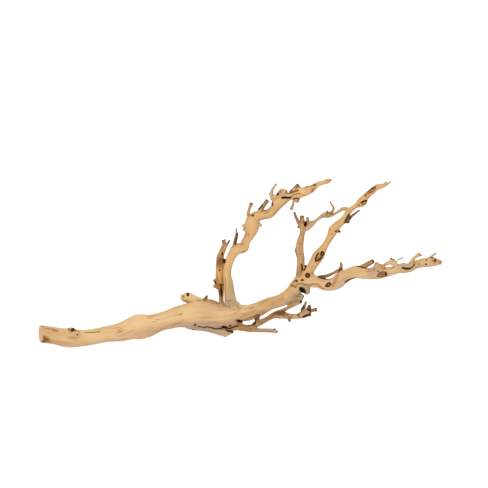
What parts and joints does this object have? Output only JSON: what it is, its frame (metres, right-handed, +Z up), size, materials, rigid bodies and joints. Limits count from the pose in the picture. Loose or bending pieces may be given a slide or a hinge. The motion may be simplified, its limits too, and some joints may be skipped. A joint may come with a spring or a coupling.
{
  "type": "terrarium branch",
  "caption": "Bare sandblasted branch with a sawn butt, a thick trunk and forked, gnarled limbs with broken stubs and twigs, lying on its side for a terrarium or display.",
  "frame": {"origin": "middle of the bounding box's footprint, on the surface that the branch lies on", "axes": "+X along the branch from the sawn butt to the twigs, +Y from the front to the back, +Z up"},
  "size_m": [0.565, 0.1472, 0.2276],
  "materials": {
    "wood": "bare, dry, sandblasted, matt"
  },
  "bodies": {
    "root": {"branch": "wood"}
  },
  "joints": []
}
